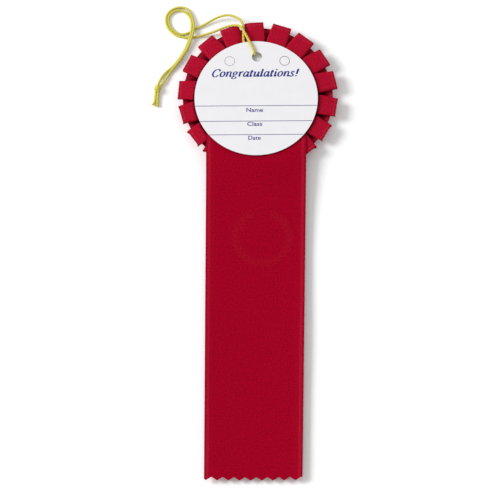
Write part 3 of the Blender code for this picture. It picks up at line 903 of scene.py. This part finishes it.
# Blue ink, a little thinner in places, with the card's grain under it.
ink, tree, shader = new_material("blue ink", Specular_IOR_Level=0.3)
parts = unevenness(tree, 0.002, 0.0003)
thin = fade(tree, parts["Grain"], 0.45, 0.8, 0, 0.25)
colour = mix(tree, thin, (0.014, 0.02, 0.2, 1), (0.1, 0.12, 0.38, 1))
matt = fade(tree, parts["Blotches"], 0.3, 0.7, 0.5, 0.65)
dress(tree, shader, colour, matt, parts["Height"], 0.00001, 0.3)
PRINT_Z = card_high.z + 0.004 * MM
PRINT_THICKNESS = 0.012 * MM
PRINT_TILT = math.radians(0.45)


def printed(piece, name):
    """Gives flat print its thickness and inks it; the print's slight tilt is already in its points."""
    pick(piece)
    solid = piece.modifiers.new("Thickness", "SOLIDIFY")
    solid.thickness = PRINT_THICKNESS
    solid.offset = -1
    bpy.ops.object.modifier_apply(modifier=solid.name)
    finish_shape(piece, name, 30)
    piece.data.materials.clear()
    piece.data.materials.append(ink)
    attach(piece, "rosette")


def flat_print(name, points, faces):
    """Print through points that each give a place on the card and a height over the print's own."""
    raised = [(x, y, PRINT_Z + PRINT_THICKNESS + rise) for x, y, rise in points]
    printed(new_piece(name, raised, faces), name)


# Each rule is a strip right across the card, cut off where its edge curves away.
RULES = {"name": -6.32 * MM, "class": -14.86 * MM, "date": -22.4 * MM}
for label, y in RULES.items():
    reach = math.sqrt((CARD_RADIUS - 0.08 * MM) ** 2 - (y - card_middle.y) ** 2) - 0.05 * MM
    tops, bottoms, count = [], [], 24
    for k in range(count + 1):
        x = card_middle.x - reach + 2 * reach * k / count
        line_y = y + (x - card_middle.x) * math.tan(PRINT_TILT)
        tops.append((x, line_y + 0.15 * MM, 0))
        bottoms.append((x, line_y - 0.15 * MM, 0))
    strip = [(k, count + 1 + k, count + 2 + k, k + 1) for k in range(count)]
    flat_print("rule_" + label, tops + bottoms, strip)

# The labels are set in a plain upright letter, small, under the middle of their rules.
LABELS = {"Name": (-5.9, -9.75, 8.6), "Class": (-5.44, -17.5, 7.7), "Date": (-4.92, -25.25, 6.4)}
for word, (x, y, width) in LABELS.items():
    clear_selection()
    bpy.ops.object.text_add(location=(0, 0, 0))
    text = bpy.context.object
    text.data.body = word
    text.data.resolution_u = 6
    text.data.size = 3.2 * MM
    text.data.offset = 0.045 * MM
    bpy.ops.object.convert(target="MESH")
    text = bpy.context.object
    left = min(v.co.x for v in text.data.vertices)
    right = max(v.co.x for v in text.data.vertices)
    stretch = width * MM / (right - left)
    for point in text.data.vertices:
        point.co.x = x * MM + (point.co.x - left) * stretch
        point.co.y = y * MM + point.co.y + (point.co.x - card_middle.x) * math.tan(PRINT_TILT)
        point.co.z = PRINT_Z + PRINT_THICKNESS
    printed(text, "label_" + word.lower())

# The greeting is a slanting broad-pen letter: downstrokes thick, cross strokes thin. Each letter
# holds its width, then its strokes, each a weight and the points that the pen goes through.
LETTERS = {
    "C": (0.66, [
        (1.0, [
            (0.61, 0.52), (0.55, 0.62), (0.42, 0.665), (0.24, 0.6), (0.11, 0.4), (0.11, 0.18),
            (0.25, 0.01), (0.42, 0.0), (0.58, 0.14),
        ]),
        (0.5, [(0.635, 0.67), (0.615, 0.47)]),
    ]),
    "o": (0.49, [
        (1.0, [
            (0.245, 0.45), (0.11, 0.36), (0.08, 0.2), (0.14, 0.04), (0.25, 0.005), (0.38, 0.1),
            (0.41, 0.26), (0.35, 0.41), (0.245, 0.45),
        ]),
    ]),
    "n": (0.55, [
        (1.1, [(0.13, 0.45), (0.13, 0.0)]),
        (0.9, [
            (0.13, 0.26), (0.23, 0.41), (0.34, 0.45), (0.41, 0.38), (0.41, 0.2), (0.41, 0.04),
            (0.46, 0.01), (0.53, 0.09),
        ]),
        (0.6, [(0.03, 0.4), (0.12, 0.45)]),
    ]),
    "g": (0.5, [
        (0.95, [
            (0.23, 0.45), (0.11, 0.38), (0.1, 0.24), (0.22, 0.14), (0.34, 0.22), (0.35, 0.37), (0.23, 0.45),
        ]),
        (0.8, [
            (0.2, 0.14), (0.11, 0.06), (0.2, 0.0), (0.37, -0.04), (0.38, -0.13), (0.24, -0.19),
            (0.07, -0.15), (0.08, -0.06), (0.18, 0.0),
        ]),
        (0.7, [(0.33, 0.4), (0.47, 0.43)]),
    ]),
    "r": (0.4, [
        (1.1, [(0.13, 0.45), (0.13, 0.0)]),
        (0.9, [(0.13, 0.26), (0.22, 0.4), (0.31, 0.45), (0.36, 0.38)]),
        (0.6, [(0.03, 0.4), (0.12, 0.45)]),
    ]),
    "a": (0.52, [
        (0.95, [
            (0.38, 0.36), (0.28, 0.45), (0.14, 0.38), (0.08, 0.2), (0.11, 0.05), (0.21, 0.01), (0.36, 0.18),
        ]),
        (1.05, [(0.4, 0.45), (0.39, 0.2), (0.4, 0.04), (0.45, 0.01), (0.51, 0.09)]),
    ]),
    "t": (0.32, [
        (1.05, [(0.15, 0.58), (0.13, 0.3), (0.12, 0.06), (0.17, 0.01), (0.27, 0.09)]),
        (1.6, [(0.02, 0.43), (0.28, 0.43)]),
    ]),
    "u": (0.55, [
        (0.6, [(0.03, 0.39), (0.1, 0.45)]),
        (1.05, [(0.13, 0.45), (0.12, 0.2), (0.14, 0.04), (0.22, 0.01), (0.33, 0.1), (0.41, 0.26)]),
        (1.1, [(0.42, 0.45), (0.41, 0.2), (0.42, 0.04), (0.47, 0.01), (0.54, 0.09)]),
    ]),
    "l": (0.3, [
        (1.1, [(0.14, 0.67), (0.13, 0.3), (0.12, 0.06), (0.17, 0.01), (0.26, 0.09)]),
        (0.6, [(0.04, 0.63), (0.13, 0.67)]),
    ]),
    "i": (0.3, [
        (1.1, [(0.14, 0.45), (0.13, 0.2), (0.13, 0.06), (0.18, 0.01), (0.26, 0.09)]),
        (0.6, [(0.03, 0.4), (0.13, 0.45)]),
        (1.15, [(0.15, 0.66), (0.15, 0.575)]),
    ]),
    "s": (0.4, [
        (0.9, [
            (0.31, 0.36), (0.26, 0.44), (0.17, 0.45), (0.11, 0.37), (0.16, 0.26), (0.27, 0.17),
            (0.28, 0.07), (0.18, 0.0), (0.08, 0.02), (0.05, 0.11),
        ]),
    ]),
    "!": (0.36, [(1.15, [(0.19, 0.67), (0.16, 0.2)]), (1.15, [(0.15, 0.09), (0.15, 0.0)])]),
}
GREETING = "Congratulations!"
GREETING_LEFT, GREETING_WIDTH, GREETING_BASE = -24.2 * MM, 45.4 * MM, 9.95 * MM
CAPITAL_HEIGHT = 4.15 * MM
SLANT = math.tan(math.radians(16))


def through(points, count):
    """More points on a smooth curve through these, count to each span; two points stay a straight run."""
    ends = [2 * points[0] - points[1], *points, 2 * points[-1] - points[-2]]
    path = []
    for a, b, c, d in zip(ends, ends[1:], ends[2:], ends[3:]):
        for k in range(count):
            t = k / count
            bend = (c - a) * t + (2 * a - 5 * b + 4 * c - d) * t**2 + (3 * b - a - 3 * c + d) * t**3
            path.append(b + 0.5 * bend)
    return path + [ends[-2]]


letter_points, letter_faces = [], []
layer = 0
pen_at = 0.0
total = sum(LETTERS[letter][0] for letter in GREETING)
wide, tall = GREETING_WIDTH / (total + 0.67 * SLANT * 0.3), CAPITAL_HEIGHT / 0.67
for letter in GREETING:
    width, strokes = LETTERS[letter]
    for weight, stroke in strokes:
        path = through([Vector(p) for p in stroke], 6)
        start, layer = len(letter_points), (layer + 1) % 5
        for k, p in enumerate(path):
            heading = (path[min(k + 1, len(path) - 1)] - path[max(k - 1, 0)]).normalized()
            half = weight * math.hypot(0.072 * heading.y, 0.031 * heading.x)
            aside = Vector((-heading.y, heading.x)) * half
            for corner in (p + aside, p - aside):
                x = GREETING_LEFT + (pen_at + corner.x + corner.y * SLANT) * wide
                y = GREETING_BASE + corner.y * tall + (x - card_middle.x) * math.tan(PRINT_TILT)
                letter_points.append((x, y, layer * 0.0015 * MM))
        for k in range(start, start + 2 * len(path) - 2, 2):
            letter_faces.append((k, k + 1, k + 3, k + 2))
    pen_at += width
flat_print("greeting", letter_points, letter_faces)


# KNOCK-OUT DISCS
# Two round discs still held in the card by hair-thin nicks in their cut line. Either one pushes
# out, to open a hole for a pin or another tie.

DISC_SIDES = 66
CUT_WIDTH = {"left": 0.2 * MM, "right": 0.28 * MM}


def at_nick(face):
    """Whether a side face stands at one of the disc's three nicks."""
    turn = math.atan2(face.normal.y, face.normal.x) - 0.6
    return abs(face.normal.z) < 0.5 and turn % (math.tau / 3) < math.tau / DISC_SIDES


for side in ("left", "right"):
    low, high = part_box(side + "_knockout")
    disc = new_disc(DISC_SIDES, HOLE_RADIUS - CUT_WIDTH[side], low, high)
    select(disc, "FACE", at_nick)
    bpy.ops.mesh.extrude_region_shrink_fatten(TRANSFORM_OT_shrink_fatten={"value": 0.13 * MM})
    select(disc, "EDGE", is_cut_edge)
    bpy.ops.mesh.bevel(offset=0.05 * MM, segments=2, affect="EDGES")
    finish_shape(disc, side + "_disc", 12)
    disc.data.materials.append(card_stock)
    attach(disc, side + "_punch")
    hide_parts(side + "_knockout")


# STRING
# Yellow two-ply cotton string, 1.2 mm thick, drawn double through the middle hole. One strand leaves
# over the card and one under it, and both lie on the surface in a loop as far as a knot.

STRING_RADIUS = 0.68 * MM
STRING_PITCH = 3.4 * MM
OVER_CARD = [
    (-1.45, 22.3, 6.8), (-1.5, 22.5, 7.7), (-1.85, 23.4, 8.6),
    (-2.7, 25.5, 8.9), (-4.8, 30, 8.8), (-7, 34.6, 8.5), (-8.5, 37.3, 8), (-10.2, 38.7, 7.47),
    (-13.3, 39.2, 6.29), (-17, 38.8, 4.78), (-22.1, 37.3, 2.91), (-27.2, 36, 1.56), (-31.9, 35, 1),
    (-35.5, 34.7, 0.8), (-39.1, 35.1, 0.75), (-42.2, 36.1, 0.75), (-44.6, 38, 0.75), (-46.4, 40.3, 0.75),
    (-47.3, 43.4, 0.75), (-47.1, 46.7, 0.75), (-45.6, 49.2, 0.75), (-43, 51, 0.8), (-39.6, 51.6, 0.9),
    (-36.6, 50.6, 1), (-34.8, 48.2, 1.2), (-33.7, 44.9, 1.5), (-33, 41.5, 2), (-33.2, 38.3, 2.4),
    (-33.9, 34.9, 2.4), (-34.9, 31.8, 1.9), (-36.5, 28.1, 1.7), (-38.6, 24.3, 1.7), (-41, 20.7, 1.6),
    (-43.6, 17.3, 1.3), (-45.6, 14.6, 0.95), (-46.8, 12.3, 1.09), (-48.5, 9.5, 1.3), (-50.5, 7.2, 1.4),
]
UNDER_CARD = [
    (-1.75, 22.4, 6.45), (-3.2, 24.2, 6.45), (-5.2, 26.8, 6.4), (-6.7, 28.8, 6.3), (-7.3, 30.8, 6.15),
    (-7.4, 33, 6.1), (-7.4, 36.2, 6.1), (-7.6, 39.2, 6),
    (-8.7, 42.1, 5.7), (-11.2, 44.4, 5.01), (-14.4, 45.8, 4.13), (-17.5, 46, 3.29), (-21.1, 45.2, 2.3),
    (-24.6, 43.5, 1.52), (-28.2, 41.5, 1.01), (-31.7, 39.7, 0.9), (-34.5, 38, 0.8), (-37.6, 36.7, 0.75),
    (-40.4, 36.7, 0.75), (-43, 38.2, 0.75), (-45.1, 40.6, 0.75), (-46.1, 43.6, 0.75), (-45.9, 46.4, 0.8),
    (-44.5, 48.4, 0.9), (-42.3, 49.6, 1), (-39.6, 49.8, 0.9), (-37.2, 48.6, 1), (-35.4, 46.6, 1.2),
    (-34.3, 43.7, 1.5), (-34.1, 40.7, 2), (-34.3, 37.8, 2.3), (-34.9, 34.7, 2.2), (-35.9, 31.9, 1.5),
    (-37.3, 28.6, 0.9), (-39.2, 25.0, 0.8), (-41.6, 21.4, 0.75), (-44.3, 18.1, 0.75), (-47.3, 15.3, 0.8),
    (-49.4, 12.6, 0.94), (-50.7, 9.9, 1.3), (-51.7, 7.2, 1.5),
]


def evenly(points, step):
    """The same path with its points a step apart."""
    fine = through(points, 24)
    path, spare = [fine[0]], 0.0
    for here, following in zip(fine, fine[1:]):
        length = (following - here).length
        while length and spare + length >= step:
            here = here.lerp(following, (step - spare) / length)
            path.append(here)
            length, spare = (following - here).length, 0.0
        spare += length
    return path + [fine[-1]]


string_yellow, tree, shader = new_material(
    "yellow cotton string", Sheen_Weight=0.3, Sheen_Roughness=0.5, Specular_IOR_Level=0.15
)
lay = map_of(tree, "lay")
spun = calc(tree, "SUBTRACT", lay["X"], calc(tree, "DIVIDE", lay["Y"], STRING_PITCH / MM))
spun = calc(tree, "MULTIPLY", spun, math.tau)
# The grooves between the two yarns are painted darker and their ridges lighter: painted shade and light
# along the twist.
groove_shade = calc(tree, "ABSOLUTE", calc(tree, "COSINE", spun))
fibre_turn = calc(tree, "MULTIPLY_ADD", lay["Y"], math.tau * 2.6, calc(tree, "MULTIPLY", spun, 5.0))
fibres = calc(tree, "MULTIPLY_ADD", calc(tree, "SINE", fibre_turn), 0.5, 0.5)
round_way = {0: calc(tree, "MULTIPLY", lay["X"], 3.0), 1: lay["Y"]}
fluff = cloudy(tree, add(tree, "ShaderNodeCombineXYZ", round_way).outputs[0], 2.2, 5.0)
colour = mix(tree, fade(tree, groove_shade, 0.05, 0.6), (0.48, 0.42, 0.045, 1), (0.57, 0.505, 0.06, 1))
colour = mix(tree, fade(tree, fluff, 0.3, 0.75, 0, 0.5), colour, (0.66, 0.6, 0.14, 1))
colour = mix(tree, calc(tree, "MULTIPLY", fibres, 0.15), colour, (0.5, 0.43, 0.04, 1))
hairy = calc(tree, "MULTIPLY_ADD", fibres, 0.5, fluff)
dress(tree, shader, colour, fade(tree, fluff, 0.3, 0.7, 0.75, 0.92), hairy, 0.00008, 0.6)


STRANDS = (
    ("string_over_card", "string_front", OVER_CARD, 0.0),
    ("string_under_card", "string_back", UNDER_CARD, 0.9),
)
for name, node, route, turn in STRANDS:
    path = evenly([Vector(p) * MM for p in route], 0.22 * MM)
    strand = twisted_tube(name, path, two_ply(STRING_RADIUS, STRING_PITCH, turn), 16)
    strand.data.materials.append(string_yellow)
    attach(strand, "rosette")
    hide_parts(node)

# The knot is both strands pulled tight in one overhand turn, with two short ends that have
# begun to come apart into their fibres.
LEFT_END = [
    (-51.7, 7.2, 1.45), (-52.5, 5.6, 1.85), (-52.5, 4.2, 1.25),
    (-52.8, 1.3, 1.05), (-53.1, -1, 0.95), (-53.7, -2.6, 0.85),
]
RIGHT_END = [
    (-50.5, 7.2, 1.35), (-51.3, 5.6, 1.85), (-51.3, 4.2, 1.25),
    (-51.6, 1.3, 1.05), (-51.7, -1.5, 0.95), (-51.7, -3.3, 0.85),
]


def fibre_outline(angle, distance):
    return 0.21 * MM * (1 - distance / (3.4 * MM))


knot_parts = []
for k, route in enumerate((LEFT_END, RIGHT_END)):
    path = evenly([Vector(p) * MM for p in route], 0.2 * MM)
    loosened = two_ply(STRING_RADIUS * 1.15, STRING_PITCH * 1.3, k)
    knot_parts.append(twisted_tube(f"end_{k}", path, loosened, 14))
    ahead = (path[-1] - path[-4]).normalized()
    for m in range(20):
        spread = math.tau * m / 20 + k
        aside = Vector((math.cos(spread), 0.25 * math.sin(spread), abs(math.sin(spread)) * 0.5))
        reach = (1.1 + 0.7 * noise.noise(Vector((m * 2.3, k * 5.1, 0)))) * MM
        root = path[-5] + aside * 0.38 * MM
        hair = [root + (ahead * s + aside * 0.55 * s * s) * reach for s in (0, 0.25, 0.5, 0.75, 1)]
        knot_parts.append(twisted_tube(f"fibre_{k}_{m}", hair, fibre_outline, 6))
axis_way = Vector((-0.42, -0.9, 0)).normalized()
wrap_side = Vector((-axis_way.y, axis_way.x, 0))
knot_middle = Vector((-51.7, 5.7, 1.8)) * MM
wrap = []
for k in range(100):
    turn = math.tau * 2.3 * k / 99 - 0.9
    along_knot = axis_way * ((k / 99 - 0.5) * 2.2 + 0.35 * math.cos(turn)) * MM
    lift = Vector((0, 0, math.sin(turn) * 1.0 * MM))
    wrap.append(knot_middle + along_knot + wrap_side * math.cos(turn) * 1.15 * MM + lift)
knot_parts.append(twisted_tube("wrap", wrap, two_ply(STRING_RADIUS * 0.95, STRING_PITCH), 14))
clear_selection()
for piece in knot_parts:
    piece.select_set(True)
knot = knot_parts[0]
bpy.context.view_layer.objects.active = knot
bpy.ops.object.join()
finish_shape(knot, "string_knot_and_ends", 80)
knot.data.materials.clear()
knot.data.materials.append(string_yellow)
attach(knot, "rosette")
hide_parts("string_knot", "string_end_left", "string_end_right")


# SURFACE, LIGHT AND CAMERA
# A wide white tabletop under the ribbon, one large soft light high on the left, a pale room all
# round, and a long lens that looks down from beyond the streamer's end.

clear_selection()
bpy.ops.mesh.primitive_plane_add(size=6, location=(0, 0, -0.05 * MM))
table = bpy.context.object
select(table, "FACE", lambda f: True)
bpy.ops.mesh.subdivide(number_cuts=8)
finish_shape(table, "tabletop", 30)
paper, tree, shader = new_material("white tabletop", Specular_IOR_Level=0.1)
parts = unevenness(tree, 0.2, 0.001)
colour = mix(tree, parts["Blotches"], (0.97, 0.97, 0.97, 1), (0.96, 0.96, 0.96, 1))
tree.links.new(colour, shader.inputs["Base Color"])
shader.inputs["Roughness"].default_value = 0.9
shader.inputs["Emission Color"].default_value = (1, 1, 1, 1)
shader.inputs["Emission Strength"].default_value = 0.03
table.data.materials.append(paper)

room = bpy.data.worlds.new("pale room")
bpy.context.scene.world = room
room.use_nodes = True
room.node_tree.nodes["Background"].inputs["Color"].default_value = (1, 1, 1, 1)
room.node_tree.nodes["Background"].inputs["Strength"].default_value = 0.64

TARGET = Vector((-6.6, -82.4, 4.8)) * MM


def area_light(name, direction, distance, size, power):
    data = bpy.data.lights.new(name, "AREA")
    data.shape = "SQUARE"
    data.size = size
    data.energy = power
    lamp = bpy.data.objects.new(name, data)
    bpy.context.scene.collection.objects.link(lamp)
    lamp.location = TARGET + Vector(direction).normalized() * distance
    lamp.rotation_euler = (TARGET - lamp.location).to_track_quat("-Z", "Y").to_euler()
    lamp.visible_camera = False


area_light("soft box", (-0.86, 0.17, 0.64), 4.5, 1.9, 176)

camera_data = bpy.data.cameras.new("long lens")
camera_data.lens = 1000
camera_data.sensor_width = 36
camera_data.clip_start = 0.1
camera_data.clip_end = 200
camera = bpy.data.objects.new("long lens", camera_data)
bpy.context.scene.collection.objects.link(camera)
rise = math.radians(68)
camera.location = TARGET + Vector((0, -math.cos(rise), math.sin(rise))) * 6.98
camera.rotation_euler = (TARGET - camera.location).to_track_quat("-Z", "Y").to_euler()
bpy.context.scene.camera = camera
bpy.context.scene.view_settings.view_transform = "Standard"
